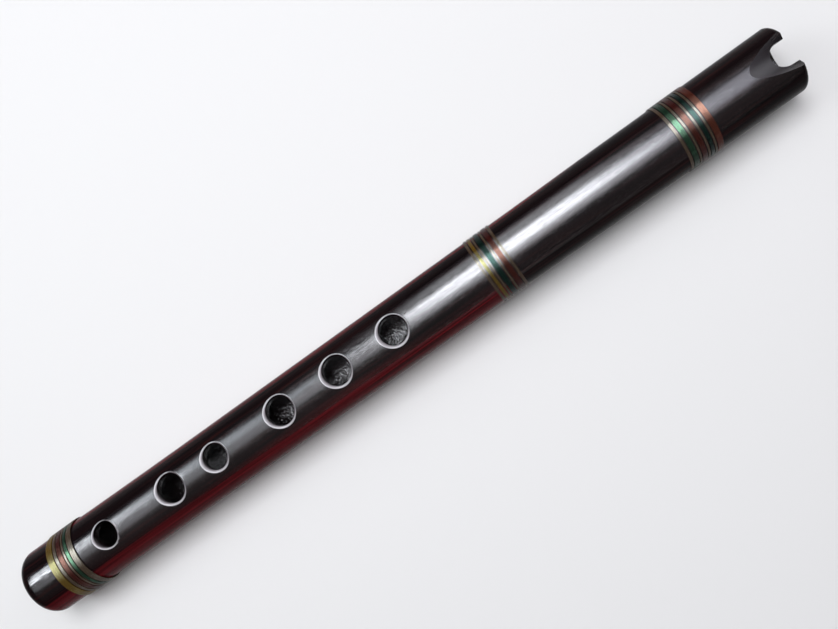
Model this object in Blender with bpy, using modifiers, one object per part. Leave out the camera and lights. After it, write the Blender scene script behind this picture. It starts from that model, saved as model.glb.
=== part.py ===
"""A quena: the notched, end-blown flute of the Andes, turned from one piece of dark hardwood.

The tube stands on its foot while it is made, turned about Z, and is laid down along X at the end,
with its finger holes up and its thumb hole down. Sizes are in metres, and heights are measured from
the foot end or, for what belongs to the mouthpiece, from the mouth end.
"""

import math

import bmesh
import bpy
from mathutils import Matrix, Vector

# Tube
LENGTH = 0.3815
DIAMETER = 0.0288
BORE = 0.020
FOOT_SWELL = 0.0010
FOOT_SWELL_LENGTH = 0.090
HEAD_SWELL = 0.0004
HEAD_SWELL_START = 0.255
HEAD_SWELL_LENGTH = 0.045

# Ends of the tube
FOOT_ROUND = 0.0055
FOOT_RIM = 0.0010
FOOT_OPENING = 0.014
FOOT_OPENING_DEPTH = 0.007
FOOT_CONE_LENGTH = 0.008
FOOT_OPENING_CHAMFER = 0.0006
MOUTH_ROUND = 0.0024
MOUTH_INNER_ROUND = 0.0005
MOUTH_RIM = 0.0005

# Finger holes, as height, diameter and width of the eased edge, and the thumb hole behind them
FINGER_HOLES = (
    (0.0458, 0.0110, 0.0009),
    (0.0808, 0.0122, 0.0013),
    (0.1043, 0.0107, 0.0014),
    (0.1381, 0.0122, 0.0013),
    (0.1669, 0.0122, 0.0013),
    (0.1952, 0.0119, 0.0014),
)
THUMB_HOLE = (0.2192, 0.0095, 0.0010)

# Blowing notch, from the mouth end
NOTCH_DEPTH = 0.0088
NOTCH_WIDTH = 0.0102
NOTCH_CORNER = 0.0049
RAMP_LENGTH = 0.0105
RAMP_RADIUS = 0.0105
LIP_THICKNESS = 0.0007

# Thread bindings: each is one helix of thread, cut into runs of colour that are counted in turns
THREAD = 0.00083
THREAD_GAP = 0.00043
RUN_GAP = 0.0004
SEAT_GAP = 0.0003
FOOT_BINDING_START = 0.0173
MIDDLE_BINDING_START = 0.2376
MOUTH_BINDING_FROM_END = 0.0391
FOOT_BINDING_PROUD = 0.00060
UPPER_BINDINGS_PROUD = 0.00042
FOOT_RUNS = (
    ("yellow", 2.5),
    ("silver", 1.5),
    ("red", 2.0),
    ("silver", 1.0),
    ("green", 1.5),
    ("silver", 2.0),
)
MIDDLE_RUNS = (
    ("silver", 1.0),
    ("yellow", 1.5),
    ("silver", 1.0),
    ("dark_green", 2.0),
    ("silver", 1.0),
    ("red", 2.0),
    ("silver", 1.0),
)
MOUTH_RUNS = (
    ("silver", 1.0),
    ("green", 2.0),
    ("silver", 1.0),
    ("red", 2.0),
    ("silver", 1.0),
    ("dark_green", 1.5),
    ("silver", 1.0),
    ("copper", 2.0),
)

# Fineness of the surfaces
TUBE_SIDES = 64
RING_SPACING = 0.030
ROUND_STEPS = 5
HOLE_SIDES = 28
EDGE_STEPS = 3
RAMP_SIDES = 40
CORNER_STEPS = 7
TURN_POINTS = 22

# How far a cutter reaches out past the wall that it cuts, and how near the axis it ends inside
OVERCUT = 0.004
INNER_REACH = BORE / 4.0
MERGE = 0.00001

# Colours, roughness and metallic value of each finish
WOOD = ((0.016, 0.009, 0.008, 1.0), 0.22, 0.0)
THREADS = {
    "yellow": ((0.42, 0.33, 0.03, 1.0), 0.30, 0.3),
    "red": ((0.16, 0.025, 0.02, 1.0), 0.30, 0.3),
    "green": ((0.03, 0.20, 0.10, 1.0), 0.30, 0.3),
    "dark_green": ((0.006, 0.035, 0.025, 1.0), 0.30, 0.3),
    "copper": ((0.25, 0.06, 0.035, 1.0), 0.30, 0.5),
    "silver": ((0.55, 0.52, 0.44, 1.0), 0.25, 0.8),
}

PITCH = THREAD + THREAD_GAP


def clear_scene():
    for item in list(bpy.data.objects):
        bpy.data.objects.remove(item, do_unlink=True)


def new_collection(name):
    collection = bpy.data.collections.new(name)
    bpy.context.scene.collection.children.link(collection)
    return collection


def finish(name, values):
    colour, roughness, metallic = values
    material = bpy.data.materials.new(name)
    material.use_nodes = True
    shader = material.node_tree.nodes["Principled BSDF"]
    shader.inputs["Base Color"].default_value = colour
    shader.inputs["Roughness"].default_value = roughness
    shader.inputs["Metallic"].default_value = metallic
    material.diffuse_color = colour
    return material


def smooth_step(share):
    share = min(max(share, 0.0), 1.0)
    return share * share * (3.0 - 2.0 * share)


def outer_radius(height):
    """The turned outside: a slight swell at the foot, a straight waist and a slightly fuller head."""
    foot = FOOT_SWELL * (1.0 - smooth_step(height / FOOT_SWELL_LENGTH))
    head = HEAD_SWELL * smooth_step((height - HEAD_SWELL_START) / HEAD_SWELL_LENGTH)
    return (DIAMETER + foot + head) / 2.0


def foot_round():
    """The foot's outer round, as far as the wall beside the foot opening leaves room for it."""
    wall = outer_radius(0.0) - FOOT_OPENING / 2.0 - FOOT_OPENING_CHAMFER
    return min(FOOT_ROUND, wall - FOOT_RIM)


def mouth_round():
    """The mouth's outer round, as far as the wall beside the bore leaves room for it."""
    wall = outer_radius(LENGTH) - BORE / 2.0 - MOUTH_INNER_ROUND
    return min(MOUTH_ROUND, wall - MOUTH_RIM)


def quarter_round(centre, radius, start, end):
    """Points on an arc about centre, from one angle to another, in the plane of a turned profile."""
    points = []
    for step in range(ROUND_STEPS + 1):
        angle = start + (end - start) * step / ROUND_STEPS
        points.append((centre[0] + radius * math.cos(angle), centre[1] + radius * math.sin(angle)))
    return points


def binding_width(runs):
    return sum(turns for _, turns in runs) * PITCH + THREAD


def binding_layout():
    """Each binding's name, its lower and upper height, how far it stands proud, and its runs."""
    mouth_start = LENGTH - MOUTH_BINDING_FROM_END - binding_width(MOUTH_RUNS)
    layout = []
    for name, start, proud, runs in (
        ("foot_binding", FOOT_BINDING_START, FOOT_BINDING_PROUD, FOOT_RUNS),
        ("middle_binding", MIDDLE_BINDING_START, UPPER_BINDINGS_PROUD, MIDDLE_RUNS),
        ("mouth_binding", mouth_start, UPPER_BINDINGS_PROUD, MOUTH_RUNS),
    ):
        layout.append((name, start, start + binding_width(runs), proud, runs))
    return layout


def thread_radius(low, high, proud):
    """Radius of the thread's centre line, so that its crest stands proud of the wood beside it."""
    return outer_radius((low + high) / 2.0) + proud - THREAD / 2.0


def seat_radius(low, high, proud):
    """Radius of the shallow groove that a binding is wound in, clear of the thread's straight steps."""
    nearest = thread_radius(low, high, proud) * math.cos(math.pi / TURN_POINTS)
    return nearest - THREAD / 2.0 - SEAT_GAP


def seats():
    """The grooves, as lower height, upper height and radius, from the foot up."""
    found = []
    for _, low, high, proud, _ in binding_layout():
        found.append((low - SEAT_GAP, high + SEAT_GAP, seat_radius(low, high, proud)))
    return found


def outside_profile():
    """The outside from the mouth down to where the foot's round begins, with a groove at each binding."""
    bottom = foot_round()
    top = LENGTH - mouth_round()
    rings = round((top - bottom) / RING_SPACING)
    grooves = seats()
    points = []
    for ring in range(rings + 1):
        height = bottom + (top - bottom) * ring / rings
        if not any(low - SEAT_GAP < height < high + SEAT_GAP for low, high, _ in grooves):
            points.append((outer_radius(height), height))
    for low, high, radius in grooves:
        points.append((outer_radius(low), low - MERGE))
        points.append((radius, low))
        points.append((radius, high))
        points.append((outer_radius(high), high + MERGE))
    return sorted(points, key=lambda point: -point[1])


def tube_profile():
    """The closed outline that is turned: down the outside, in at the foot and up the bore."""
    bore = BORE / 2.0
    opening = FOOT_OPENING / 2.0
    mouth_ease = mouth_round()
    foot_ease = foot_round()
    mouth = (outer_radius(LENGTH) - mouth_ease, LENGTH - mouth_ease)
    foot = (outer_radius(foot_ease) - foot_ease, foot_ease)
    cone_top = FOOT_OPENING_DEPTH + FOOT_CONE_LENGTH
    inner_rim = (bore + MOUTH_INNER_ROUND, LENGTH - MOUTH_INNER_ROUND)
    profile = quarter_round(inner_rim, MOUTH_INNER_ROUND, math.pi, math.pi / 2.0)
    profile += quarter_round(mouth, mouth_ease, math.pi / 2.0, 0.0)[:-1]
    profile += outside_profile()
    profile += quarter_round(foot, foot_ease, 0.0, -math.pi / 2.0)[1:]
    profile.append((opening + FOOT_OPENING_CHAMFER, 0.0))
    profile.append((opening, FOOT_OPENING_CHAMFER))
    profile.append((opening, FOOT_OPENING_DEPTH))
    profile.append((bore, cone_top))
    return profile


def turned(name, profile, sides, collection, closed):
    """A solid turned about Z from a profile of radius and height, by a Screw modifier."""
    mesh = bpy.data.meshes.new(name)
    points = [(radius, 0.0, height) for radius, height in profile]
    edges = [(index, index + 1) for index in range(len(points) - 1)]
    if closed:
        edges.append((len(points) - 1, 0))
    mesh.from_pydata(points, edges, [])
    item = bpy.data.objects.new(name, mesh)
    collection.objects.link(item)
    screw = item.modifiers.new("Turn", "SCREW")
    screw.steps = sides
    screw.render_steps = sides
    screw.use_merge_vertices = True
    screw.merge_threshold = MERGE
    screw.use_smooth_shade = True
    return item


def as_cutter(item, root):
    item.parent = root
    item.hide_render = True
    item.display_type = "WIRE"
    return item


def bend_over_tube(item, radius):
    """Lets a turned cutter follow the tube's round, so that its flared edge is as wide all round."""
    evaluated = item.evaluated_get(bpy.context.evaluated_depsgraph_get())
    mesh = bpy.data.meshes.new_from_object(evaluated)
    item.modifiers.clear()
    item.data = mesh
    for vertex in mesh.vertices:
        across = min(abs(vertex.co.y), radius)
        vertex.co.z -= radius - math.sqrt(radius * radius - across * across)


def hole_cutter(name, hole, side, collection, root):
    """A drill with a flare at its top that eases the edge of the hole; side is -1 for the fingers."""
    height, diameter, edge = hole
    surface = outer_radius(height)
    radius = diameter / 2.0
    profile = [(0.0, surface + OVERCUT), (radius + edge + OVERCUT, surface + OVERCUT)]
    for step in range(EDGE_STEPS + 1):
        angle = math.pi / 2.0 * (1.0 - step / EDGE_STEPS)
        out = radius + edge * (1.0 - math.cos(angle))
        profile.append((out, surface - edge * (1.0 - math.sin(angle))))
    profile.append((radius, INNER_REACH))
    profile.append((0.0, INNER_REACH))
    cutter = turned(name, profile, HOLE_SIDES, collection, closed=False)
    bpy.context.view_layer.update()
    bend_over_tube(cutter, surface)
    cutter.rotation_euler = (0.0, side * math.pi / 2.0, 0.0)
    cutter.location = (0.0, 0.0, height)
    return as_cutter(cutter, root)


def ramp_cutter(collection, root):
    """The gouge that hollows the ramp: a tilted cylinder whose lowest line runs down to the lip."""
    surface = outer_radius(LENGTH)
    drop = surface - BORE / 2.0 - LIP_THICKNESS
    tilt = math.atan2(drop, RAMP_LENGTH)
    apex = Vector((-surface, 0.0, LENGTH - NOTCH_DEPTH - RAMP_LENGTH))
    along = Vector((math.sin(tilt), 0.0, math.cos(tilt)))
    outward = Vector((-math.cos(tilt), 0.0, math.sin(tilt)))
    length = 2.0 * (NOTCH_DEPTH + RAMP_LENGTH) + OVERCUT
    mesh = bpy.data.meshes.new("ramp_cutter")
    shape = bmesh.new()
    bmesh.ops.create_cone(
        shape,
        cap_ends=True,
        segments=RAMP_SIDES,
        radius1=RAMP_RADIUS,
        radius2=RAMP_RADIUS,
        depth=length,
    )
    shape.to_mesh(mesh)
    shape.free()
    cutter = bpy.data.objects.new("ramp_cutter", mesh)
    collection.objects.link(cutter)
    cutter.location = apex + outward * RAMP_RADIUS + along * (length / 2.0 - OVERCUT)
    cutter.rotation_euler = (0.0, tilt, 0.0)
    return as_cutter(cutter, root)


def notch_cutter(collection, root):
    """The U that the player blows across: a block with two rounded corners, through the near wall."""
    top = LENGTH + OVERCUT
    bottom = LENGTH - NOTCH_DEPTH
    outer = outer_radius(LENGTH) + OVERCUT
    mesh = bpy.data.meshes.new("notch_cutter")
    shape = bmesh.new()
    bmesh.ops.create_cube(shape, size=1.0)
    size = Matrix.Diagonal((outer - INNER_REACH, NOTCH_WIDTH, top - bottom, 1.0))
    bmesh.ops.transform(shape, matrix=size, verts=shape.verts)
    corners = []
    for edge in shape.edges:
        ends = [vertex.co for vertex in edge.verts]
        if abs(ends[0].x - ends[1].x) > MERGE and ends[0].z < 0.0:
            corners.append(edge)
    bmesh.ops.bevel(
        shape,
        geom=corners,
        offset=NOTCH_CORNER,
        segments=CORNER_STEPS,
        profile=0.5,
        affect="EDGES",
    )
    shape.to_mesh(mesh)
    shape.free()
    cutter = bpy.data.objects.new("notch_cutter", mesh)
    collection.objects.link(cutter)
    cutter.location = (-(outer + INNER_REACH) / 2.0, 0.0, (top + bottom) / 2.0)
    return as_cutter(cutter, root)


def make_tube(parts, cutters, root):
    """The body: one turned tube, bored, with its finger holes, thumb hole, ramp and notch cut at once."""
    tube = turned("body_tube", tube_profile(), TUBE_SIDES, parts, closed=True)
    tube.parent = root
    tube.data.materials.append(finish("dark_rosewood", WOOD))
    for number, hole in enumerate(FINGER_HOLES, start=1):
        hole_cutter(f"finger_hole_{number}_cutter", hole, -1, cutters, root)
    hole_cutter("thumb_hole_cutter", THUMB_HOLE, 1, cutters, root)
    ramp_cutter(cutters, root)
    notch_cutter(cutters, root)
    cut = tube.modifiers.new("Cuts", "BOOLEAN")
    cut.operation = "DIFFERENCE"
    cut.operand_type = "COLLECTION"
    cut.collection = cutters
    return tube


def run_points(radius, start_height, first_step, steps):
    """One run of thread along the binding's helix, drawn in at both ends to leave the next run room."""
    inset = RUN_GAP / 2.0 / radius
    turn = 2.0 * math.pi / TURN_POINTS
    points = []
    for step in range(steps + 1):
        angle = (first_step + step) * turn
        if step == 0:
            angle += inset
        if step == steps:
            angle -= inset
        height = start_height + PITCH * angle / (2.0 * math.pi)
        phase = angle + turn / 2.0
        points.append(Vector((radius * math.cos(phase), radius * math.sin(phase), height)))
    return points


def least_gap(points):
    """The least gap between a run and itself, between points at least half a turn apart."""
    gaps = []
    for index, point in enumerate(points):
        for other in points[index + TURN_POINTS // 2 + 1 :]:
            gaps.append((point - other).length - THREAD)
    return min(gaps)


def wind_run(name, points, material, collection, root):
    """One unbroken length of thread."""
    path = bpy.data.curves.new(name, "CURVE")
    path.dimensions = "3D"
    path.twist_mode = "Z_UP"
    path.bevel_depth = THREAD / 2.0
    path.bevel_resolution = 1
    path.use_fill_caps = True
    spline = path.splines.new("POLY")
    spline.points.add(len(points) - 1)
    for target, point in zip(spline.points, points):
        target.co = (point.x, point.y, point.z, 1.0)
    spline.use_smooth = True
    path.materials.append(material)
    item = bpy.data.objects.new(name, path)
    collection.objects.link(item)
    item.parent = root
    return item


def named_runs(binding, runs):
    """The runs with their names: a colour that comes back in the same binding is numbered."""
    named = []
    for index, (colour, turns) in enumerate(runs):
        alike = [place for place, (other, _) in enumerate(runs) if other == colour]
        number = f"_{alike.index(index) + 1}" if len(alike) > 1 else ""
        named.append((f"{binding}_{colour}{number}", colour, turns))
    return named


def make_bindings(parts, root):
    """The three bindings, each wound up its seat from the foot side, one colour after another."""
    materials = {colour: finish(f"{colour}_thread", values) for colour, values in THREADS.items()}
    runs_made = []
    for binding, low, high, proud, runs in binding_layout():
        radius = thread_radius(low, high, proud)
        start = low + THREAD / 2.0
        step = 0
        for name, colour, turns in named_runs(binding, runs):
            steps = round(turns * TURN_POINTS)
            points = run_points(radius, start, step, steps)
            print(f"{name}: {turns} turns, least gap between turns {least_gap(points) * 1000:.2f} mm")
            runs_made.append(wind_run(name, points, materials[colour], parts, root))
            step += steps
    return runs_made


def lay_down(root, items):
    """Turns the flute onto its bindings along X, centred, with its lowest point at height zero."""
    root.rotation_euler = (0.0, math.pi / 2.0, 0.0)
    root.location = (-LENGTH / 2.0, 0.0, 0.0)
    bpy.context.view_layer.update()
    graph = bpy.context.evaluated_depsgraph_get()
    lowest = 0.0
    for item in items:
        evaluated = item.evaluated_get(graph)
        mesh = evaluated.to_mesh()
        for vertex in mesh.vertices:
            lowest = min(lowest, (evaluated.matrix_world @ vertex.co).z)
        evaluated.to_mesh_clear()
    root.location.z = -lowest
    bpy.context.view_layer.update()
    print(f"axis height {-lowest * 1000:.3f} mm")


def main():
    clear_scene()
    parts = new_collection("quena")
    cutters = new_collection("quena_cutters")
    root = bpy.data.objects.new("quena_axis", None)
    parts.objects.link(root)
    make_tube(parts, cutters, root)
    threads = make_bindings(parts, root)
    lay_down(root, threads)


main()
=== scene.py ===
"""The looks of a quena: a polished rosewood flute with three bindings of wound thread.

The flute lies along X on its bindings, foot at -X and mouth at +X, finger holes up.
All sizes are in metres. Heights along the tube are measured from its foot end.
"""

import logging
import math
from dataclasses import dataclass
from enum import Enum

import bpy
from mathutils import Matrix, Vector


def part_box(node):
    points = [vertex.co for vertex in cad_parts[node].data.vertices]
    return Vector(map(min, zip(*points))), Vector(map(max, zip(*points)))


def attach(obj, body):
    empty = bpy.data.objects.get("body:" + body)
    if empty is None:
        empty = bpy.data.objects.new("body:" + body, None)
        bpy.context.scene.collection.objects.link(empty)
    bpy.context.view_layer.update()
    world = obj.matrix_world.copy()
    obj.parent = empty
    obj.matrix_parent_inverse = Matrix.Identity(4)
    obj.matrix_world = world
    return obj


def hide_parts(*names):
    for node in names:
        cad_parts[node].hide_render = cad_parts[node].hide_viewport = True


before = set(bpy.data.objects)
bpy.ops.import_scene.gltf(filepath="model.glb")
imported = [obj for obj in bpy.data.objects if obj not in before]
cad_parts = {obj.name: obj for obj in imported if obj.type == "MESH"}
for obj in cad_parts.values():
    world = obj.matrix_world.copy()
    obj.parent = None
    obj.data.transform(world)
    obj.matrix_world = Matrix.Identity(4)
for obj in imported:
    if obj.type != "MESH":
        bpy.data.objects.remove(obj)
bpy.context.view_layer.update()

BODY = "root"
MM = 0.001
MERGE = 0.00001
AXIS = Vector((1.0, 0.0, 0.0))
FULL_GLOSS = 0.5
# At this scale the wave texture's diagonal bands repeat once in every unit.
ONE_BAND = math.tau / 10.0

log = logging.getLogger("quena")


def linear(colour: str, alpha: float = 1.0) -> tuple[float, float, float, float]:
    """Turns an sRGB colour into the linear one that the shader wants.

    Args:
        colour: The colour as six hex digits after a hash sign.
        alpha: Its opacity.

    Returns:
        Red, green, blue and alpha.
    """
    parts = []
    for start in (1, 3, 5):
        share = int(colour[start:start + 2], 16) / 255.0
        parts.append(share / 12.92 if share <= 0.04045 else ((share + 0.055) / 1.055) ** 2.4)
    return (parts[0], parts[1], parts[2], alpha)


def ease(share: float) -> float:
    """A smooth step from 0 to 1, as a turner blends one diameter into the next."""
    share = min(max(share, 0.0), 1.0)
    return share * share * (3.0 - 2.0 * share)


def add_node(
    material: bpy.types.Material,
    kind: str,
    settings: dict[str, object] | None = None,
    values: dict[str | int, object] | None = None,
    links: dict[str | int, bpy.types.NodeSocket] | None = None,
) -> bpy.types.Node:
    """Adds one node to a material, with its settings, its socket values and what feeds it.

    Args:
        material: The material that gets the node.
        kind: Blender's name for the node's type.
        settings: Properties of the node itself.
        values: Values of its input sockets, by name or number.
        links: Output sockets that feed its input sockets, by name or number.

    Returns:
        The new node.
    """
    tree = material.node_tree
    node = tree.nodes.new(kind)
    for name, value in (settings or {}).items():
        setattr(node, name, value)
    for name, value in (values or {}).items():
        node.inputs[name].default_value = value
    for name, socket in (links or {}).items():
        tree.links.new(socket, node.inputs[name])
    return node


def new_material(name: str) -> tuple[bpy.types.Material, bpy.types.Node]:
    """Makes an empty node material with its output.

    Args:
        name: The material's name.

    Returns:
        The material and its output node.
    """
    material = bpy.data.materials.new(name)
    material.use_nodes = True
    material.node_tree.nodes.clear()
    return material, add_node(material, "ShaderNodeOutputMaterial")


def set_ramp(node: bpy.types.Node, stops: list[tuple[float, tuple[float, ...]]]) -> None:
    """Gives a colour ramp its stops.

    Args:
        node: The colour ramp.
        stops: Each stop's place from 0 to 1 and its colour.
    """
    ramp = node.color_ramp
    while len(ramp.elements) < len(stops):
        ramp.elements.new(1.0)
    for element, (place, colour) in zip(ramp.elements, stops):
        element.position = place
        element.color = colour


def fading_gloss(
    material: bpy.types.Material, fade: tuple[float, float], flank: float
) -> bpy.types.NodeSocket:
    """Lets the gloss fade towards the flanks, which stay as dark as in a room with dim walls.

    Args:
        material: The material.
        fade: How far the surface turns away where the fade starts and where it ends, from 0 to 1.
        flank: The share of the gloss that the flanks keep.

    Returns:
        The specular level, full where the surface faces the eye.
    """
    turned = add_node(material, "ShaderNodeLayerWeight", values={"Blend": 0.5})
    level = add_node(
        material,
        "ShaderNodeMapRange",
        {"interpolation_type": "SMOOTHSTEP"},
        {
            "From Min": fade[0],
            "From Max": fade[1],
            "To Min": FULL_GLOSS,
            "To Max": FULL_GLOSS * flank,
        },
        {"Value": turned.outputs["Facing"]},
    )
    return level.outputs["Result"]


def deselect() -> None:
    """Leaves nothing selected, so that an operator acts on the new piece only."""
    bpy.ops.object.select_all(action="DESELECT")


def take_name(name: str) -> bpy.types.Object:
    """Names the object that was added last, and its data.

    Args:
        name: The new name.

    Returns:
        The object.
    """
    piece = bpy.context.object
    piece.name = name
    piece.data.name = name
    return piece


def settle(piece: bpy.types.Object) -> None:
    """Moves a piece's place into its mesh, so that its object sits at the origin.

    Args:
        piece: The piece.
    """
    deselect()
    piece.select_set(True)
    bpy.context.view_layer.objects.active = piece
    bpy.ops.object.transform_apply(location=True, rotation=True, scale=True)


def turn_on_lathe(
    name: str, outline: list[Vector], sides: int, centre: Vector, axis: Vector
) -> bpy.types.Object:
    """Turns an outline about an axis, as on a lathe.

    Args:
        name: The piece's name.
        outline: The points of the outline, in order.
        sides: How many steps a full turn has.
        centre: A point on the axis.
        axis: The axis's direction.

    Returns:
        The turned piece, with its faces pointing out.
    """
    deselect()
    bpy.ops.mesh.primitive_plane_add(size=MM, location=outline[0])
    piece = take_name(name)
    bpy.ops.object.mode_set(mode="EDIT")
    bpy.ops.mesh.merge(type="CENTER")
    for here, there in zip(outline, outline[1:]):
        bpy.ops.mesh.extrude_vertices_move(TRANSFORM_OT_translate={"value": there - here})
    bpy.ops.mesh.select_all(action="SELECT")
    bpy.ops.mesh.spin(steps=sides, angle=2.0 * math.pi, center=centre, axis=axis)
    bpy.ops.mesh.select_all(action="SELECT")
    bpy.ops.mesh.remove_doubles(threshold=MERGE)
    bpy.ops.mesh.normals_make_consistent(inside=False)
    bpy.ops.object.mode_set(mode="OBJECT")
    settle(piece)
    return piece


def cut_away(piece: bpy.types.Object, tools: list[bpy.types.Object]) -> None:
    """Cuts the shapes of several tools out of a piece and throws the tools away.

    Args:
        piece: What is cut.
        tools: The closed shapes that are taken out.
    """
    rack = bpy.data.collections.new("tools")
    bpy.context.scene.collection.children.link(rack)
    for tool in tools:
        rack.objects.link(tool)
    cut = piece.modifiers.new("Cuts", "BOOLEAN")
    cut.operation = "DIFFERENCE"
    cut.operand_type = "COLLECTION"
    cut.collection = rack
    deselect()
    piece.select_set(True)
    bpy.context.view_layer.objects.active = piece
    bpy.ops.object.modifier_apply(modifier=cut.name)
    for tool in tools:
        bpy.data.objects.remove(tool, do_unlink=True)
    bpy.data.collections.remove(rack)


def place_piece(piece: bpy.types.Object, slot: str, *nodes: str) -> None:
    """Hangs a finished piece on the body, hides the plainer nodes that it stands for, and logs it.

    Args:
        piece: The piece.
        slot: Not used.
        nodes: The plainer nodes that it stands for.
    """
    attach(piece, BODY)
    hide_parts(*nodes)
    count = len(piece.data.vertices)
    log.info("%s: %d vertices, in place of %s", piece.name, count, ", ".join(nodes))


@dataclass(frozen=True)
class RosewoodFinish:
    """Dark rosewood, turned, sanded fine, oiled and buffed to a hard shine.

    To the eye it is almost black, with each lamp as a long bright streak and a deep red painted on
    as a reflection along the flanks from the foot to the middle binding. Elsewhere the flanks stay
    dark, as in a room with dim walls.

    Five attributes of the piece steer it: painted_red_reflection, where the red reflection is
    painted, buffed, where the foot cap is polished brighter, worn_and_highlit, where the edges of
    the holes are rubbed down to paler wood and a highlight is painted on them, brightest on the
    foot side, inside, where the drill left it torn and glinting, and scraped, where the ramp shows
    the gouge's dull cut, whose paler grey fades out along the horns as painted shade.
    """

    name: str = "dark_rosewood_polished"
    dark: str = "#0b0809"
    middle: str = "#150d0e"
    light: str = "#2a1413"
    # red_dark and red are a painted red reflection, not the wood's own colour; the grain streaks
    # break them up.
    red_dark: str = "#410e12"
    red: str = "#5f1419"
    black_stops: tuple[float, float, float] = (0.34, 0.52, 0.72)
    red_reflection_stops: tuple[float, float, float] = (0.30, 0.42, 0.62)
    border_weight: float = 3.0
    border: tuple[float, float] = (0.80, 3.10)
    # Pale rubbed wood, which also serves as a painted highlight on the rims of the holes.
    worn_and_highlit: str = "#a29c9e"
    worn_roughness: float = 0.40
    buffed_roughness: float = 0.09
    scraped: str = "#302c2f"
    scraped_roughness: float = 0.38
    scraped_gloss: float = 0.27
    inside_roughness: float = 0.16
    inside_gloss: float = 0.50
    # Torn grain is 0.2 to 0.4 mm wide. It is drawn about three times as coarse, so that it glints.
    chip_size: float = 1.1 * MM
    chip_depth: float = 0.40 * MM
    # The streaks are growth bands: 1 to 2 mm wide, and they run on for centimetres.
    streak_length: float = 60.0 * MM
    streak_width: float = 1.1 * MM
    # The pores are vessels that the lathe laid open: 0.1 to 0.3 mm wide and some millimetres long.
    pore_length: float = 5.0 * MM
    pore_width: float = 0.22 * MM
    pore_depth: float = 0.012 * MM
    pore_level: tuple[float, float] = (0.30, 0.48)
    roughness: tuple[float, float] = (0.16, 0.26)
    roughness_level: tuple[float, float] = (0.35, 0.70)
    ior: float = 2.2
    gloss_fade: tuple[float, float] = (0.14, 0.30)
    flank_gloss: float = 0.012

    def material(self) -> bpy.types.Material:
        """Makes the wood: near-black with red-brown streaks, a painted red reflection, and long
        fine pores in the shine.

        Returns:
            The material.
        """
        material, output = new_material(self.name)
        place = add_node(material, "ShaderNodeTexCoord").outputs["Object"]
        streaks = add_node(
            material,
            "ShaderNodeMapping",
            values={
                "Scale": (
                    1.0 / self.streak_length,
                    1.0 / self.streak_width,
                    1.0 / self.streak_width,
                )
            },
            links={"Vector": place},
        )
        bands = add_node(
            material,
            "ShaderNodeTexNoise",
            values={"Scale": 1.0, "Detail": 5.0, "Roughness": 0.62, "Distortion": 0.4},
            links={"Vector": streaks.outputs["Vector"]},
        ).outputs["Fac"]
        pores = add_node(
            material,
            "ShaderNodeMapping",
            values={
                "Scale": (1.0 / self.pore_length, 1.0 / self.pore_width, 1.0 / self.pore_width)
            },
            links={"Vector": place},
        )
        grain = add_node(
            material,
            "ShaderNodeTexNoise",
            values={"Scale": 1.0, "Detail": 3.0, "Roughness": 0.5},
            links={"Vector": pores.outputs["Vector"]},
        ).outputs["Fac"]
        woods = []
        for places, shades in (
            (self.black_stops, (self.dark, self.middle, self.light)),
            (self.red_reflection_stops, (self.middle, self.red_dark, self.red)),
        ):
            wood = add_node(material, "ShaderNodeValToRGB", links={"Fac": bands})
            set_ramp(wood, [(stop, linear(shade)) for stop, shade in zip(places, shades)])
            woods.append(wood.outputs["Color"])
        # Mixes in the painted red reflection wherever the piece's red reflection share says.
        wood_with_red_reflection = add_node(
            material,
            "ShaderNodeMix",
            {"data_type": "RGBA"},
            links={0: self.share(material, "painted_red_reflection", bands), 6: woods[0], 7: woods[1]},
        )
        rubbed_and_highlit = self.share(material, "worn_and_highlit", grain)
        scraped, buffed, inside = (
            add_node(material, "ShaderNodeAttribute", {"attribute_name": name}).outputs["Fac"]
            for name in ("scraped", "buffed", "inside")
        )
        colour = wood_with_red_reflection.outputs[2]
        for share, shade in ((scraped, self.scraped), (rubbed_and_highlit, self.worn_and_highlit)):
            colour = add_node(
                material,
                "ShaderNodeMix",
                {"data_type": "RGBA"},
                {7: linear(shade)},
                {0: share, 6: colour},
            ).outputs[2]
        roughness = add_node(
            material,
            "ShaderNodeMapRange",
            values={
                "From Min": self.roughness_level[0],
                "From Max": self.roughness_level[1],
                "To Min": self.roughness[0],
                "To Max": self.roughness[1],
            },
            links={"Value": bands},
        ).outputs["Result"]
        for share, value in (
            (buffed, self.buffed_roughness),
            (rubbed_and_highlit, self.worn_roughness),
            (scraped, self.scraped_roughness),
            (inside, self.inside_roughness),
        ):
            roughness = add_node(
                material,
                "ShaderNodeMix",
                {"data_type": "FLOAT"},
                {3: value},
                {0: share, 2: roughness},
            ).outputs[0]
        gloss = fading_gloss(material, self.gloss_fade, self.flank_gloss)
        for share, value in ((scraped, self.scraped_gloss), (inside, self.inside_gloss)):
            gloss = add_node(
                material,
                "ShaderNodeMix",
                {"data_type": "FLOAT"},
                {3: value},
                {0: share, 2: gloss},
            ).outputs[0]
        chips = add_node(
            material,
            "ShaderNodeTexNoise",
            values={"Scale": 1.0 / self.chip_size, "Detail": 2.0, "Roughness": 0.6},
            links={"Vector": place},
        )
        torn = add_node(
            material,
            "ShaderNodeBump",
            values={"Distance": self.chip_depth},
            links={"Strength": inside, "Height": chips.outputs["Fac"]},
        )
        open_pores = add_node(
            material,
            "ShaderNodeMapRange",
            values={"From Min": self.pore_level[0], "From Max": self.pore_level[1]},
            links={"Value": grain},
        )
        relief = add_node(
            material,
            "ShaderNodeBump",
            values={"Strength": 1.0, "Distance": self.pore_depth},
            links={"Height": open_pores.outputs["Result"], "Normal": torn.outputs["Normal"]},
        )
        shader = add_node(
            material,
            "ShaderNodeBsdfPrincipled",
            values={"IOR": self.ior},
            links={
                "Base Color": colour,
                "Roughness": roughness,
                "Specular IOR Level": gloss,
                "Normal": relief.outputs["Normal"],
            },
        )
        material.node_tree.links.new(shader.outputs["BSDF"], output.inputs["Surface"])
        return material

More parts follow.
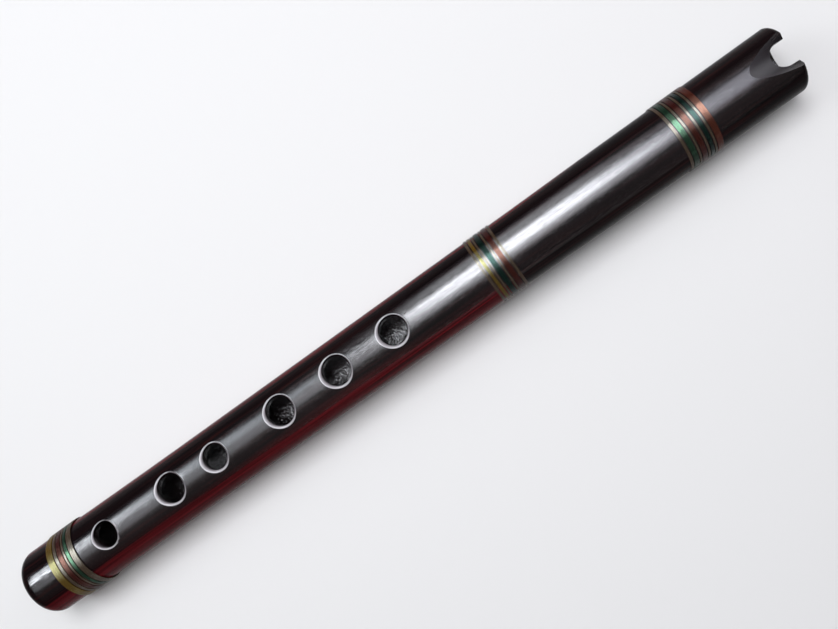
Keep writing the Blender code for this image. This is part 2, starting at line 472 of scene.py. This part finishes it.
    def share(
        self, material: bpy.types.Material, attribute: str, grain: bpy.types.NodeSocket
    ) -> bpy.types.NodeSocket:
        """Reads how much of something a place has, and lets the grain break up its border.

        Args:
            material: The wood.
            attribute: The piece's attribute, from 0 to 1.
            grain: The grain, from 0 to 1.

        Returns:
            A share from 0 to 1.
        """
        amount = add_node(material, "ShaderNodeAttribute", {"attribute_name": attribute})
        broken = add_node(
            material,
            "ShaderNodeMath",
            {"operation": "MULTIPLY_ADD"},
            {1: self.border_weight},
            {0: amount.outputs["Fac"], 2: grain},
        )
        share = add_node(
            material,
            "ShaderNodeMapRange",
            {"interpolation_type": "SMOOTHSTEP"},
            {"From Min": self.border[0], "From Max": self.border[1]},
            {"Value": broken.outputs["Value"]},
        )
        return share.outputs["Result"]


@dataclass(frozen=True)
class ThreadFinish:
    """Mercerised embroidery thread, twisted from fine strands, with a silky shine.

    To the eye it is dull and deep in colour, and where a lamp catches it, it gleams in its tint.
    """

    name: str
    shade: str
    light: str
    shine: str
    roughness: float = 0.20
    ior: float = 4.0
    gloss_fade: tuple[float, float] = (0.12, 0.30)
    flank_gloss: float = 0.03
    # The thread has two strands. Along its length the next one shows after 0.9 mm.
    twist: float = 0.9 * MM
    strands: float = 2.0
    strand_relief: float = 0.008 * MM
    relief_strength: float = 0.6
    crest: float = 0.6

    def material(self) -> bpy.types.Material:
        """Makes the thread: the twist shows as slanting strands, with painted shade in the furrows.

        Returns:
            The material.
        """
        material, output = new_material(self.name)
        along = add_node(material, "ShaderNodeUVMap", {"uv_map": "thread"}).outputs["UV"]
        slant = add_node(
            material,
            "ShaderNodeMapping",
            values={"Scale": (1.0 / self.twist, self.strands, 1.0)},
            links={"Vector": along},
        )
        strands = add_node(
            material,
            "ShaderNodeTexWave",
            {"wave_type": "BANDS", "bands_direction": "DIAGONAL", "wave_profile": "SIN"},
            {"Scale": ONE_BAND, "Distortion": 0.3, "Detail": 2.0},
            {"Vector": slant.outputs["Vector"]},
        )
        # The colour ramp paints shade: the shaded copy of the thread's colour in the furrows, the
        # lit copy on the crests.
        colour = add_node(material, "ShaderNodeValToRGB", links={"Fac": strands.outputs["Fac"]})
        set_ramp(colour, [(0.0, linear(self.shade)), (self.crest, linear(self.light))])
        relief = add_node(
            material,
            "ShaderNodeBump",
            values={"Strength": self.relief_strength, "Distance": self.strand_relief},
            links={"Height": strands.outputs["Fac"]},
        )
        shader = add_node(
            material,
            "ShaderNodeBsdfPrincipled",
            values={
                "Roughness": self.roughness,
                "IOR": self.ior,
                "Specular Tint": linear(self.shine),
            },
            links={
                "Base Color": colour.outputs["Color"],
                "Specular IOR Level": fading_gloss(material, self.gloss_fade, self.flank_gloss),
                "Normal": relief.outputs["Normal"],
            },
        )
        material.node_tree.links.new(shader.outputs["BSDF"], output.inputs["Surface"])
        return material


@dataclass(frozen=True)
class FloorFinish:
    """Smooth white studio paper.

    To the eye it is one even pale field that shows nothing but the flute's soft shadow.
    """

    name: str = "white_studio_paper"
    colour: str = "#e9e7e3"
    roughness: float = 0.9
    gloss: float = 0.1
    # Real tooth is about 0.1 mm wide, too fine to show, so it is drawn at 1.5 mm.
    tooth: float = 1.5 * MM
    tooth_depth: float = 0.02 * MM
    tooth_strength: float = 0.1

    def material(self) -> bpy.types.Material:
        """Makes the paper, matt and even, with the faintest tooth.

        Returns:
            The material.
        """
        material, output = new_material(self.name)
        place = add_node(material, "ShaderNodeTexCoord").outputs["Object"]
        tooth = add_node(
            material,
            "ShaderNodeTexNoise",
            values={"Scale": 1.0 / self.tooth},
            links={"Vector": place},
        )
        relief = add_node(
            material,
            "ShaderNodeBump",
            values={"Strength": self.tooth_strength, "Distance": self.tooth_depth},
            links={"Height": tooth.outputs["Fac"]},
        )
        shader = add_node(
            material,
            "ShaderNodeBsdfPrincipled",
            values={
                "Base Color": linear(self.colour),
                "Roughness": self.roughness,
                "Specular IOR Level": self.gloss,
            },
            links={"Normal": relief.outputs["Normal"]},
        )
        material.node_tree.links.new(shader.outputs["BSDF"], output.inputs["Surface"])
        return material


class ThreadColour(Enum):
    """The threads that the bindings are wound from."""

    YELLOW = "yellow"
    SILVER = "silver"
    RED = "red"
    GREEN = "green"
    DARK_GREEN = "dark_green"
    COPPER = "copper"

    @property
    def slot(self) -> str:
        """The record's slot for this thread."""
        return f"{self.value}_thread"

    @property
    def finish(self) -> ThreadFinish:
        """This thread's finish.

        Returns:
            The finish, with its own shades.
        """
        # Each thread's shaded and lit copy of its colour, for the painted shade in its furrows, and
        # the tint of its shine.
        shades = {
            ThreadColour.YELLOW: ("#402e0a", "#5a4212", "#ffffbe"),
            ThreadColour.SILVER: ("#34271c", "#46372a", "#fffbe8"),
            ThreadColour.RED: ("#240b08", "#37120e", "#d8aa98"),
            ThreadColour.GREEN: ("#0c1a11", "#14291b", "#c4ffd4"),
            ThreadColour.DARK_GREEN: ("#06110c", "#0a1914", "#84aca2"),
            ThreadColour.COPPER: ("#30140b", "#481e14", "#ffc8ae"),
        }
        shade, light, shine = shades[self]
        return ThreadFinish(f"{self.value}_embroidery_thread", shade, light, shine)


@dataclass(frozen=True)
class Hole:
    """A hole drilled through one wall, with its edge eased by hand."""

    height: float
    diameter: float
    edge: float


@dataclass
class FluteBody:
    """The turned and bored tube, with its finger holes, thumb hole, ramp and notch."""

    length: float = 381.5 * MM
    axis_height: float = 15.285 * MM
    diameter: float = 28.8 * MM
    bore: float = 20.0 * MM
    foot_swell: float = 1.0 * MM
    foot_swell_length: float = 90.0 * MM
    head_swell: float = 0.4 * MM
    head_swell_start: float = 255.0 * MM
    head_swell_length: float = 45.0 * MM
    foot_round: float = 5.5 * MM
    foot_opening: float = 14.0 * MM
    foot_opening_depth: float = 7.0 * MM
    foot_cone_length: float = 8.0 * MM
    foot_opening_ease: float = 0.6 * MM
    mouth_round: float = 2.4 * MM
    mouth_inner_round: float = 0.5 * MM
    finger_holes: tuple[Hole, ...] = (
        Hole(45.8 * MM, 11.0 * MM, 0.9 * MM),
        Hole(80.8 * MM, 12.2 * MM, 1.3 * MM),
        Hole(104.3 * MM, 10.7 * MM, 1.4 * MM),
        Hole(138.1 * MM, 12.2 * MM, 1.3 * MM),
        Hole(166.9 * MM, 12.2 * MM, 1.3 * MM),
        Hole(195.2 * MM, 11.9 * MM, 1.4 * MM),
    )
    thumb_hole: Hole = Hole(219.2 * MM, 9.5 * MM, 1.0 * MM)
    notch_depth: float = 8.8 * MM
    notch_width: float = 10.2 * MM
    notch_corner: float = 4.9 * MM
    ramp_length: float = 10.5 * MM
    ramp_radius: float = 10.5 * MM
    lip_thickness: float = 0.7 * MM
    sides: int = 240
    ring_spacing: float = 2.0 * MM
    bore_spacing: float = 12.0 * MM
    round_steps: int = 14
    hole_sides: int = 96
    edge_steps: int = 12
    overcut: float = 4.0 * MM
    gouge_push: float = 2.0
    crease: float = math.radians(15.0)
    # These place the painted red reflection: its side, its depth at the front and back, the bore it
    # leaves out, the foot end, and where it fades.
    red_side: float = math.radians(163.0)
    red_depth: tuple[float, float] = (-12.5 * MM, -1.5 * MM)
    red_depth_back: tuple[float, float] = (-13.0 * MM, -9.0 * MM)
    red_wall: float = 2.0 * MM
    red_tip: float = 2.5 * MM
    red_tip_share: float = 0.7
    red_front: tuple[float, float] = (46.0 * MM, 16.0 * MM)
    red_back: tuple[float, float] = (60.0 * MM, 70.0 * MM)
    wall_band: float = 0.15 * MM
    # The rims' painted highlight is dimmest on this side and brightest on the far side, towards the
    # foot.
    dimmest_highlight_side: float = math.radians(35.0)
    worn_onset: float = 3.0
    worn_width: tuple[float, float] = (0.45, 0.4)
    worn_fade: float = 0.3
    worn_share: tuple[float, float] = (0.45, 0.55)
    bore_margin: float = 0.2 * MM
    torn_depth: float = 2.0 * MM
    torn_depth_ramp: float = 0.3 * MM
    ramp_margin: float = 2.0 * MM
    cut_margin: float = 0.05 * MM
    # From here on the ramp's paler scraped grey fades out along the horns, a painted shade that
    # keeps them dark.
    horn_shade_fade: tuple[float, float] = (366.0 * MM, 381.0 * MM)
    cut_loss: float = 0.8
    cap_length: float = 24.0 * MM

    @property
    def centre(self) -> Vector:
        """A point on the tube's axis, at its foot end."""
        return Vector((-self.length / 2.0, 0.0, self.axis_height))

    @property
    def tool_tip(self) -> float:
        """How near the axis the drills and the notch block reach: well inside the bore."""
        return self.bore / 4.0

    def outer_radius(self, height: float) -> float:
        """The turned outside's radius at a height: swollen foot, straight waist and fuller head.

        Args:
            height: The height, from the foot end.

        Returns:
            The radius there.
        """
        foot = self.foot_swell * (1.0 - ease(height / self.foot_swell_length))
        head = self.head_swell * ease((height - self.head_swell_start) / self.head_swell_length)
        return (self.diameter + foot + head) / 2.0

    def spot(self, height: float, radius: float) -> Vector:
        """The place at a height and a radius, straight above the axis."""
        return self.centre + Vector((height, 0.0, radius))

    def rounded(
        self, centre: tuple[float, float], radius: float, start: float, end: float
    ) -> list[Vector]:
        """Points of an arc in the tube's outline.

        Args:
            centre: The arc's centre, as height and radius.
            radius: The arc's own radius.
            start: Its first angle, from straight out, positive towards the mouth.
            end: Its last angle.

        Returns:
            The points in order.
        """
        points = []
        for step in range(self.round_steps + 1):
            angle = start + (end - start) * step / self.round_steps
            height = centre[0] + radius * math.sin(angle)
            points.append(self.spot(height, centre[1] + radius * math.cos(angle)))
        return points

    def outline(self) -> list[Vector]:
        """The closed outline that is turned: down the outside, in at the foot and up the bore.

        Returns:
            Its points in order, from the mouth's inner edge.
        """
        bore = self.bore / 2.0
        opening = self.foot_opening / 2.0
        quarter = math.pi / 2.0
        top = self.length - self.mouth_round
        points = self.rounded(
            (self.length - self.mouth_inner_round, bore + self.mouth_inner_round),
            self.mouth_inner_round,
            math.pi,
            quarter,
        )
        mouth_edge = self.outer_radius(self.length) - self.mouth_round
        points += self.rounded((top, mouth_edge), self.mouth_round, quarter, 0.0)
        rings = round((top - self.foot_round) / self.ring_spacing)
        for ring in range(1, rings):
            height = top + (self.foot_round - top) * ring / rings
            points.append(self.spot(height, self.outer_radius(height)))
        foot_edge = self.outer_radius(self.foot_round) - self.foot_round
        points += self.rounded((self.foot_round, foot_edge), self.foot_round, 0.0, -quarter)
        points.append(self.spot(0.0, opening + self.foot_opening_ease))
        points.append(self.spot(self.foot_opening_ease, opening))
        points.append(self.spot(self.foot_opening_depth, opening))
        low = self.foot_opening_depth + self.foot_cone_length
        high = self.length - self.mouth_inner_round
        steps = round((high - low) / self.bore_spacing)
        for step in range(steps + 1):
            points.append(self.spot(low + (high - low) * step / steps, bore))
        return points

    def drill(self, name: str, hole: Hole, side: int) -> bpy.types.Object:
        """Makes the shape that a drill and a scraper take out at one hole.

        Args:
            name: The tool's name.
            hole: The hole.
            side: 1 for a finger hole, on top, and -1 for the thumb hole, below.

        Returns:
            The tool. Its flare follows the tube's round, so that the edge is as wide all round.
        """
        surface = self.outer_radius(hole.height)
        radius = hole.diameter / 2.0
        top = surface + self.overcut
        shape = [(0.0, top), (radius + hole.edge + self.overcut, top)]
        for step in range(self.edge_steps + 1):
            angle = math.pi / 2.0 * (1.0 - step / self.edge_steps)
            out = radius + hole.edge * (1.0 - math.cos(angle))
            shape.append((out, surface - hole.edge * (1.0 - math.sin(angle))))
        shape += [(radius, self.tool_tip), (0.0, self.tool_tip)]
        middle = self.centre + AXIS * hole.height
        outline = [middle + Vector((out, 0.0, side * up)) for out, up in shape]
        tool = turn_on_lathe(name, outline, self.hole_sides, middle, Vector((0.0, 0.0, 1.0)))
        for vertex in tool.data.vertices:
            across = min(abs(vertex.co.y), surface)
            vertex.co.z -= side * (surface - math.sqrt(surface * surface - across * across))
        return tool

    def gouge_line(self) -> tuple[Vector, Vector, Vector]:
        """Finds the gouge's line, tilted so that the ramp runs down to the lip.

        Returns:
            A point on the gouge's axis, the axis's direction, and the way out of the wood.
        """
        surface = self.outer_radius(self.length)
        drop = surface - self.bore / 2.0 - self.lip_thickness
        tilt = math.atan2(drop, self.ramp_length)
        along = Vector((math.cos(tilt), 0.0, -math.sin(tilt)))
        outward = Vector((math.sin(tilt), 0.0, math.cos(tilt)))
        apex = self.spot(self.length - self.notch_depth - self.ramp_length, surface)
        return apex + outward * self.ramp_radius - along * self.overcut, along, outward

    def gouge(self) -> bpy.types.Object:
        """Makes the round gouge that hollows the ramp.

        Returns:
            The tool.
        """
        start, along, outward = self.gouge_line()
        end = start + along * (self.gouge_push * (self.notch_depth + self.ramp_length))
        edge = outward * self.ramp_radius
        outline = [start, start + edge, end + edge, end]
        return turn_on_lathe("gouge", outline, self.hole_sides, start, along)

    def notch_tool(self) -> bpy.types.Object:
        """Makes the block with round corners that cuts the U of the notch, through the near wall.

        Returns:
            The tool.
        """
        bottom = self.length - self.notch_depth
        top = self.length + self.overcut
        outer = self.outer_radius(self.length) + self.overcut
        deselect()
        bpy.ops.mesh.primitive_cube_add(
            size=1.0,
            location=self.spot((bottom + top) / 2.0, (self.tool_tip + outer) / 2.0),
            scale=(top - bottom, self.notch_width, outer - self.tool_tip),
        )
        tool = take_name("notch_tool")
        settle(tool)
        bpy.ops.object.mode_set(mode="EDIT")
        bpy.ops.mesh.select_all(action="DESELECT")
        bpy.ops.object.mode_set(mode="OBJECT")
        limit = self.centre.x + bottom + MERGE
        for edge in tool.data.edges:
            ends = [tool.data.vertices[number].co for number in edge.vertices]
            upright = abs(ends[0].z - ends[1].z) > MERGE
            edge.select = upright and max(end.x for end in ends) < limit
        bpy.ops.object.mode_set(mode="EDIT")
        bpy.ops.mesh.select_mode(type="EDGE")
        bpy.ops.mesh.bevel(
            offset=self.notch_corner, segments=self.round_steps, profile=0.5, affect="EDGES"
        )
        bpy.ops.mesh.select_mode(type="VERT")
        bpy.ops.object.mode_set(mode="OBJECT")
        return tool

    def red_reflection_share(self, place: Vector) -> float:
        """How much painted red reflection a place gets: red on one side, from the foot to the
        middle binding.

        Args:
            place: A place on the body.

        Returns:
            A share from 0 to 1.
        """
        across = place.y
        up = place.z - self.axis_height
        if math.hypot(across, up) < self.bore / 2.0 + self.red_wall:
            return 0.0
        deep = -across * math.sin(self.red_side) + up * math.cos(self.red_side)
        start, full = self.red_depth if across < 0.0 else self.red_depth_back
        share = ease((deep - start) / (full - start))
        tip = 1.0 - ease((place.x - self.centre.x) / self.red_tip)
        end, fade = self.red_front if across < 0.0 else self.red_back
        return max(share, self.red_tip_share * tip) * (1.0 - ease((place.x - end) / fade))

    def wear_and_highlight(self, place: Vector) -> float:
        """How far a place is rubbed down to paler wood with a painted highlight: on the eased edges
        of the holes, brightest on the foot side.

        Args:
            place: A place on the body.

        Returns:
            A share from 0 to 1.
        """
        up = place.z - self.axis_height
        depth = self.outer_radius(place.x - self.centre.x) - math.hypot(place.y, up)
        holes = self.finger_holes if up > 0.0 else (self.thumb_hole,)
        for hole in holes:
            out = math.hypot(place.x - self.centre.x - hole.height, place.y) - hole.diameter / 2.0
            reach = hole.edge + self.wall_band
            if depth > reach or not -self.wall_band < out < reach:
                continue
            around = math.atan2(place.y, place.x - self.centre.x - hole.height)
            most = ease(0.5 - 0.5 * math.cos(around - self.dimmest_highlight_side))
            share = 1.0 - out / hole.edge
            width, more_width = self.worn_width
            least, more = self.worn_share
            inner_fade = ease((share - width - more_width * most) / self.worn_fade)
            rim = min(ease(share * self.worn_onset), 1.0 - inner_fade)
            return rim * (least + more * most)
        return 0.0

    def unpolished(self, place: Vector) -> float:
        """How far a place is in the bore or deep in a hole, where no polish reaches.

        Args:
            place: A place on the body.

        Returns:
            A share from 0 to 1.
        """
        from_axis = math.hypot(place.y, place.z - self.axis_height)
        ramp = self.length - self.notch_depth - self.ramp_length - self.ramp_margin
        depth = self.torn_depth_ramp if place.x - self.centre.x > ramp else self.torn_depth
        return 1.0 - ease((from_axis - self.bore / 2.0 - self.bore_margin) / depth)

    def buffing(self, place: Vector) -> float:
        """Whether a place is on the foot cap: its polish ends under the foot binding."""
        return 1.0 if place.x - self.centre.x < self.cap_length else 0.0

    def gouged(self, middle: Vector) -> bool:
        """Whether a face lies on the ramp: as far from the gouge's axis as the gouge is round.

        Args:
            middle: The face's middle.

        Returns:
            True on the ramp.
        """
        start, along, _ = self.gouge_line()
        offset = middle - start
        from_gouge = (offset - along * offset.dot(along)).length
        on_cut = abs(from_gouge - self.ramp_radius) < self.cut_margin
        return on_cut and middle.z > self.axis_height

    def scraped_with_horn_shade(self, place: Vector) -> float:
        """How dull the ramp is at a place: less and less along the horns, kept dark as painted
        shade.
        """
        start, full = self.horn_shade_fade
        return 1.0 - self.cut_loss * ease((place.x - self.centre.x - start) / (full - start))

    def paint(self, body: bpy.types.Object) -> None:
        """Marks where the red reflection is painted, and where the wood is buffed, worn with a
        painted highlight, unpolished and gouged with painted shade at the horns, for the finish to
        read.

        Args:
            body: The carved body.
        """
        mesh = body.data
        amounts = {
            "painted_red_reflection": self.red_reflection_share,
            "buffed": self.buffing,
            "worn_and_highlit": self.wear_and_highlight,
            "inside": self.unpolished,
        }
        for name, amount in amounts.items():
            layer = mesh.attributes.new(name, "FLOAT", "POINT")
            layer.data.foreach_set("value", [amount(vertex.co) for vertex in mesh.vertices])
        scraped = mesh.attributes.new("scraped", "FLOAT", "CORNER")
        for face in mesh.polygons:
            if self.gouged(face.center):
                for corner, number in zip(face.loop_indices, face.vertices):
                    scraped.data[corner].value = self.scraped_with_horn_shade(mesh.vertices[number].co)

    def build(self, finish: RosewoodFinish) -> bpy.types.Object:
        """Turns, drills and carves the body and polishes it.

        Args:
            finish: The wood.

        Returns:
            The finished body.
        """
        body = turn_on_lathe("flute_body", self.outline(), self.sides, self.centre, AXIS)
        tools = [self.drill("finger_drill", hole, 1) for hole in self.finger_holes]
        tools.append(self.drill("thumb_drill", self.thumb_hole, -1))
        tools.append(self.gouge())
        tools.append(self.notch_tool())
        cut_away(body, tools)
        settle(body)
        self.paint(body)
        bpy.ops.object.shade_smooth_by_angle(angle=self.crease)
        body.data.materials.clear()
        body.data.materials.append(finish.material())
        place_piece(body, "dark_rosewood", "body_tube")
        return body


@dataclass
class ThreadBinding:
    """One binding: fine thread wound turn against turn, one colour after another."""

    name: str
    runs: tuple[ThreadColour, ...]
    crest: float
    axis_height: float
    thread: float = 0.44 * MM
    thickness: float = 0.46 * MM
    squareness: float = 0.5
    sides: int = 12
    steps: int = 96
    tuck: float = 0.5 * MM
    tuck_sinks: tuple[float, float] = (0.3, 0.9)
    phase: float = math.radians(205.0)

    def nodes(self) -> list[str]:
        """The plainer nodes of this binding's runs. A colour that repeats is numbered.

        Returns:
            The names, from the foot up.
        """
        names = []
        for index, colour in enumerate(self.runs):
            alike = [place for place, other in enumerate(self.runs) if other == colour]
            number = f"_{alike.index(index) + 1}" if len(alike) > 1 else ""
            names.append(f"{self.name}_{colour.value}{number}")
        return names

    def borders(self) -> list[float]:
        """Where each run starts along X, and where the last one ends: halfway between the nodes.

        Returns:
            The places, from the foot up.
        """
        boxes = [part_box(node) for node in self.nodes()]
        places = [boxes[0][0].x]
        for lower, upper in zip(boxes, boxes[1:]):
            places.append((lower[1].x + upper[0].x) / 2.0)
        places.append(boxes[-1][1].x)
        return places

    def squeeze(self, share: float) -> float:
        """Presses a round section towards a square one, as in threads that lie side by side."""
        return math.copysign(abs(share) ** self.squareness, share)

    def wind(self, name: str, start: float, end: float) -> bpy.types.Object:
        """Winds one run of thread round the tube.

        Args:
            name: The run's name.
            start: Where its first turn starts along X.
            end: Where its last turn ends.

        Returns:
            The run, as one unbroken length of thread.
        """
        turns = max(round((end - start) / self.thread), 1)
        pitch = (end - start) / turns
        radius = self.crest - self.thickness / 2.0
        outward = Vector((0.0, math.sin(self.phase), math.cos(self.phase)))
        hub = Vector((start + pitch / 2.0, 0.0, self.axis_height))
        deselect()
        bpy.ops.mesh.primitive_circle_add(vertices=self.sides, radius=0.5)
        piece = take_name(name)
        for vertex in piece.data.vertices:
            vertex.co.x = self.squeeze(2.0 * vertex.co.x) * pitch / 2.0
            vertex.co.y = self.squeeze(2.0 * vertex.co.y) * self.thickness / 2.0
        piece.rotation_euler = (math.pi / 2.0 - self.phase, 0.0, 0.0)
        piece.location = hub + outward * radius
        settle(piece)
        self.turn_thread(piece, hub, turns - 1, pitch)
        self.unroll(piece, 2.0 * math.pi * radius / self.steps)
        along = AXIS.cross(outward)
        last = len(piece.data.vertices) - self.sides
        self.tuck_in(piece, 0, along, outward)
        self.tuck_in(piece, last, -along, outward)
        return piece

    def turn_thread(self, piece: bpy.types.Object, hub: Vector, turns: int, pitch: float) -> None:
        """Screws the thread's section round the tube.

        Args:
            piece: The section.
            hub: A point on the tube's axis.
            turns: How many whole turns it makes.
            pitch: How far it moves along X in a turn.
        """
        centre = bpy.data.objects.new("hub", None)
        bpy.context.scene.collection.objects.link(centre)
        centre.location = hub
        bpy.context.view_layer.update()
        screw = piece.modifiers.new("Wind", "SCREW")
        screw.axis = "X"
        screw.object = centre
        screw.angle = 2.0 * math.pi
        screw.screw_offset = pitch
        screw.iterations = max(turns, 1)
        screw.steps = self.steps
        screw.render_steps = self.steps
        screw.use_smooth_shade = True
        deselect()
        piece.select_set(True)
        bpy.context.view_layer.objects.active = piece
        bpy.ops.object.modifier_apply(modifier=screw.name)
        bpy.data.objects.remove(centre, do_unlink=True)

    def unroll(self, piece: bpy.types.Object, stride: float) -> None:
        """Gives the thread a map: its length in metres one way, and once round it the other way.

        Args:
            piece: The wound thread.
            stride: The thread's length from one step to the next.
        """
        mesh = piece.data
        layer = mesh.uv_layers.new(name="thread")
        for face in mesh.polygons:
            numbers = [mesh.loops[corner].vertex_index for corner in face.loop_indices]
            places = [number % self.sides for number in numbers]
            closing = max(places) - min(places) > 1
            for corner, number, place in zip(face.loop_indices, numbers, places):
                if closing and place == 0:
                    place = self.sides
                layer.data[corner].uv = (number // self.sides * stride, place / self.sides)

    def tuck_in(self, piece: bpy.types.Object, first: int, along: Vector, outward: Vector) -> None:
        """Bends one end of the thread down under its neighbour and closes it.

        Args:
            piece: The wound thread.
            first: The number of the end ring's first vertex.
            along: The direction in which the end goes on.
            outward: The direction away from the tube's axis there.
        """
        deselect()
        piece.select_set(True)
        bpy.context.view_layer.objects.active = piece
        bpy.ops.object.mode_set(mode="EDIT")
        bpy.ops.mesh.select_mode(type="VERT")
        bpy.ops.mesh.select_all(action="DESELECT")
        bpy.ops.object.mode_set(mode="OBJECT")
        for vertex in piece.data.vertices[first:first + self.sides]:
            vertex.select = True
        bpy.ops.object.mode_set(mode="EDIT")
        for sink in self.tuck_sinks:
            move = (along - outward * sink) * self.tuck
            bpy.ops.mesh.extrude_region_move(TRANSFORM_OT_translate={"value": move})
        bpy.ops.mesh.edge_face_add()
        bpy.ops.mesh.select_all(action="SELECT")
        bpy.ops.mesh.normals_make_consistent(inside=False)
        bpy.ops.object.mode_set(mode="OBJECT")

    def build(self, materials: dict[ThreadColour, bpy.types.Material]) -> list[bpy.types.Object]:
        """Winds every run of the binding.

        Args:
            materials: Each thread's material.

        Returns:
            The runs, from the foot up.
        """
        places = self.borders()
        runs = []
        for node, colour, start, end in zip(self.nodes(), self.runs, places, places[1:]):
            run = self.wind(f"{node}_winding", start, end)
            run.data.materials.append(materials[colour])
            place_piece(run, colour.slot, node)
            runs.append(run)
        return runs


@dataclass(frozen=True)
class SoftBox:
    """A soft lamp: a glowing rectangle that hangs level, unless it is turned."""

    name: str
    place: tuple[float, float, float]
    width: float
    depth: float
    watts: float
    turn: tuple[float, float, float] = (0.0, 0.0, 0.0)
    colour: str = "#f6f8ff"

    def build(self) -> bpy.types.Object:
        """Hangs the lamp.

        Returns:
            The lamp.
        """
        deselect()
        bpy.ops.object.light_add(type="AREA", location=self.place)
        lamp = take_name(self.name)
        lamp.data.shape = "RECTANGLE"
        lamp.data.size = self.width
        lamp.data.size_y = self.depth
        lamp.data.energy = self.watts
        lamp.data.color = linear(self.colour)[:3]
        lamp.rotation_euler = [math.radians(angle) for angle in self.turn]
        log.info("%s: %.1f W", lamp.name, self.watts)
        return lamp


@dataclass
class Studio:
    """A sheet of pale paper on a table, soft lamps above it and a plain grey room."""

    floor_size: float = 6.0
    paper_top: float = -0.16 * MM
    paper_thickness: float = 1.0 * MM
    room: str = "#ffffff"
    room_strength: float = 0.045
    lamps: tuple[SoftBox, ...] = (
        SoftBox("bright_window", (0.08, 0.24, 1.0), 0.42, 0.62, 7.3, (0.0, 0.0, 10.0)),
        SoftBox("window_edge", (0.08, -0.23, 1.0), 0.50, 0.36, 1.0),
        SoftBox("outer_sky", (0.08, 1.20, 1.0), 0.50, 1.00, 2.2),
        SoftBox("tip_window", (-0.93, 0.50, 1.0), 0.24, 0.56, 5.2, colour="#f4f8ff"),
        SoftBox("foot_window", (-0.65, 0.60, 1.0), 0.85, 0.40, 2.1, (0.0, 0.0, -42.0), "#e6f0fa"),
        SoftBox("foot_sky", (-0.60, 0.05, 1.0), 0.80, 0.60, 1.3, colour="#eef2fa"),
        SoftBox("mouth_window", (0.50, 0.17, 1.0), 0.40, 0.85, 1.5, colour="#eeeeff"),
        SoftBox("wide_ceiling", (-0.10, 0.10, 1.05), 1.60, 1.30, 0.5, colour="#fffaf4"),
        SoftBox("side_window", (1.15, 0.35, 0.60), 0.80, 0.80, 2.2, (0.0, 60.0, 16.0)),
    )

    def floor(self, finish: FloorFinish) -> bpy.types.Object:
        """Lays the paper, with its top a hair below height zero.

        Args:
            finish: The paper.

        Returns:
            The sheet.
        """
        deselect()
        top = (0.0, 0.0, self.paper_top)
        bpy.ops.mesh.primitive_plane_add(size=self.floor_size, location=top)
        sheet = take_name("paper_floor")
        bpy.ops.object.mode_set(mode="EDIT")
        bpy.ops.mesh.select_all(action="SELECT")
        down = (0.0, 0.0, -self.paper_thickness)
        bpy.ops.mesh.extrude_region_move(TRANSFORM_OT_translate={"value": down})
        bpy.ops.mesh.select_all(action="SELECT")
        bpy.ops.mesh.normals_make_consistent(inside=False)
        bpy.ops.object.mode_set(mode="OBJECT")
        settle(sheet)
        sheet.data.materials.append(finish.material())
        return sheet

    def light_room(self) -> None:
        """Gives the room its even grey."""
        world = bpy.data.worlds.new("grey_room")
        world.use_nodes = True
        background = world.node_tree.nodes["Background"]
        background.inputs["Color"].default_value = linear(self.room)
        background.inputs["Strength"].default_value = self.room_strength
        bpy.context.scene.world = world

    def build(self) -> None:
        """Sets up the floor, the lamps and the room."""
        self.floor(FloorFinish())
        for lamp in self.lamps:
            lamp.build()
        self.light_room()
        bpy.context.scene.view_settings.view_transform = "Standard"


@dataclass(frozen=True)
class PhotoCamera:
    """The camera, above the finger holes and turned so that the flute lies across the frame."""

    place: tuple[float, float, float] = (0.05627, -0.05127, 0.35833)
    turn: tuple[float, float, float] = (3.272, 10.480, -34.600)
    lens: float = 36.30
    sensor: float = 36.0
    nearest: float = 0.01

    def build(self) -> bpy.types.Object:
        """Places the camera and makes it the scene's.

        Returns:
            The camera.
        """
        deselect()
        turn = [math.radians(angle) for angle in self.turn]
        bpy.ops.object.camera_add(location=self.place, rotation=turn)
        camera = take_name("photo_camera")
        camera.data.lens = self.lens
        camera.data.sensor_width = self.sensor
        camera.data.sensor_fit = "HORIZONTAL"
        camera.data.clip_start = self.nearest
        bpy.context.scene.camera = camera
        return camera


def main() -> None:
    """Builds the flute, its bindings, the studio and the camera, and reports each piece."""
    logging.basicConfig(level=logging.INFO, format="%(name)s: %(message)s")
    PhotoCamera().build()
    Studio().build()
    body = FluteBody()
    body.build(RosewoodFinish())
    materials = {colour: colour.finish.material() for colour in ThreadColour}
    yellow, silver, red = ThreadColour.YELLOW, ThreadColour.SILVER, ThreadColour.RED
    green, dark_green, copper = ThreadColour.GREEN, ThreadColour.DARK_GREEN, ThreadColour.COPPER
    bindings = (
        ThreadBinding(
            "foot_binding",
            (yellow, silver, red, silver, green, silver),
            crest=15.44 * MM,
            axis_height=body.axis_height,
        ),
        ThreadBinding(
            "middle_binding",
            (silver, yellow, silver, dark_green, silver, red, silver),
            crest=14.84 * MM,
            axis_height=body.axis_height,
        ),
        ThreadBinding(
            "mouth_binding",
            (silver, green, silver, red, silver, dark_green, silver, copper),
            crest=14.99 * MM,
            axis_height=body.axis_height,
        ),
    )
    for binding in bindings:
        binding.build(materials)


if __name__ == "__main__":
    main()
